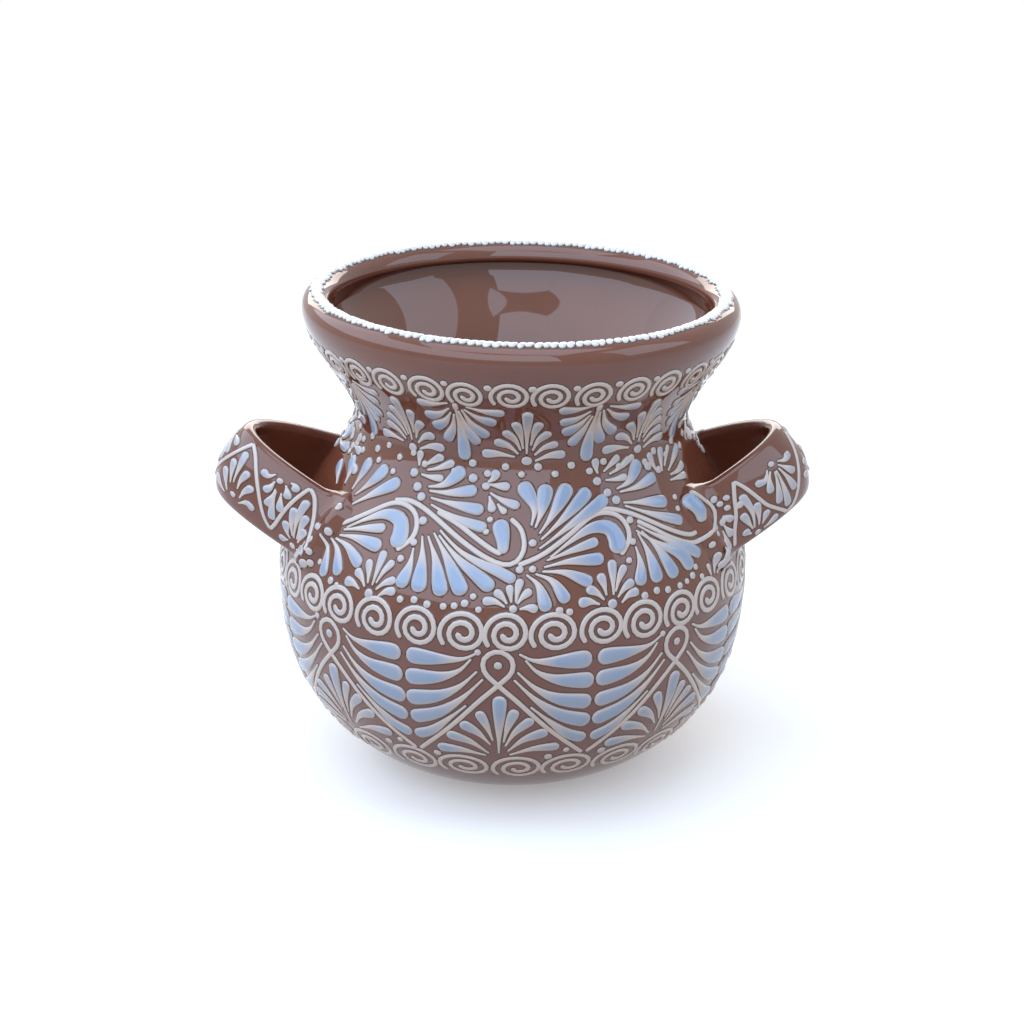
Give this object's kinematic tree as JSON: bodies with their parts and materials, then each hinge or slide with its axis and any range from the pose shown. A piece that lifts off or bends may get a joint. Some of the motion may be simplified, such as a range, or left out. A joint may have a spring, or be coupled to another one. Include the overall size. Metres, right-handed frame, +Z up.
{
  "type": "ceramic planter",
  "caption": "Round-bellied glazed terracotta plant pot with a flared neck, rolled rim, two broad strap handles on the shoulder and raised white slip ornament.",
  "frame": {"origin": "middle of the flat base, on the surface that the pot stands on", "axes": "+Z up along the pot's axis, +X towards the right handle seen from the front, +Y to the back"},
  "size_m": [0.3142, 0.2514, 0.2603],
  "materials": {
    "glazed_clay": "red-brown earthenware under a clear gloss glaze",
    "white_slip": "cool white slip under a clear gloss glaze"
  },
  "bodies": {
    "root": {"pot_body": "glazed_clay", "rim_roll": "glazed_clay", "handle_left": "glazed_clay", "handle_right": "glazed_clay", "rim_slip_bead": "white_slip", "belly_loop_1": "white_slip", "belly_loop_2": "white_slip", "belly_loop_3": "white_slip", "belly_loop_4": "white_slip", "belly_loop_5": "white_slip", "belly_loop_6": "white_slip", "belly_loop_7": "white_slip", "belly_loop_8": "white_slip", "belly_palmette_1": "white_slip", "belly_palmette_2": "white_slip", "belly_palmette_3": "white_slip", "belly_palmette_4": "white_slip", "belly_palmette_5": "white_slip", "belly_palmette_6": "white_slip", "belly_palmette_7": "white_slip", "belly_palmette_8": "white_slip", "neck_hanging_1": "white_slip", "neck_hanging_2": "white_slip", "neck_hanging_3": "white_slip", "neck_hanging_4": "white_slip", "neck_hanging_5": "white_slip", "neck_hanging_6": "white_slip", "neck_hanging_7": "white_slip", "neck_hanging_8": "white_slip", "neck_hanging_9": "white_slip", "neck_standing_1": "white_slip", "neck_standing_2": "white_slip", "neck_standing_3": "white_slip", "neck_standing_4": "white_slip", "neck_standing_5": "white_slip", "neck_standing_6": "white_slip", "neck_standing_7": "white_slip", "neck_standing_8": "white_slip", "neck_standing_9": "white_slip", "shoulder_rising_1": "white_slip", "shoulder_rising_2": "white_slip", "shoulder_side_1": "white_slip", "shoulder_side_2": "white_slip", "shoulder_falling_1": "white_slip", "shoulder_falling_2": "white_slip", "shoulder_falling_3": "white_slip", "shoulder_falling_4": "white_slip", "shoulder_crest_1": "white_slip", "shoulder_crest_2": "white_slip", "shoulder_crest_3": "white_slip", "shoulder_crest_4": "white_slip", "shoulder_stem_1": "white_slip", "shoulder_stem_2": "white_slip", "shoulder_stem_3": "white_slip", "shoulder_stem_4": "white_slip", "shoulder_leaf_1": "white_slip", "shoulder_leaf_2": "white_slip", "shoulder_leaf_3": "white_slip", "shoulder_leaf_4": "white_slip"}
  },
  "joints": []
}
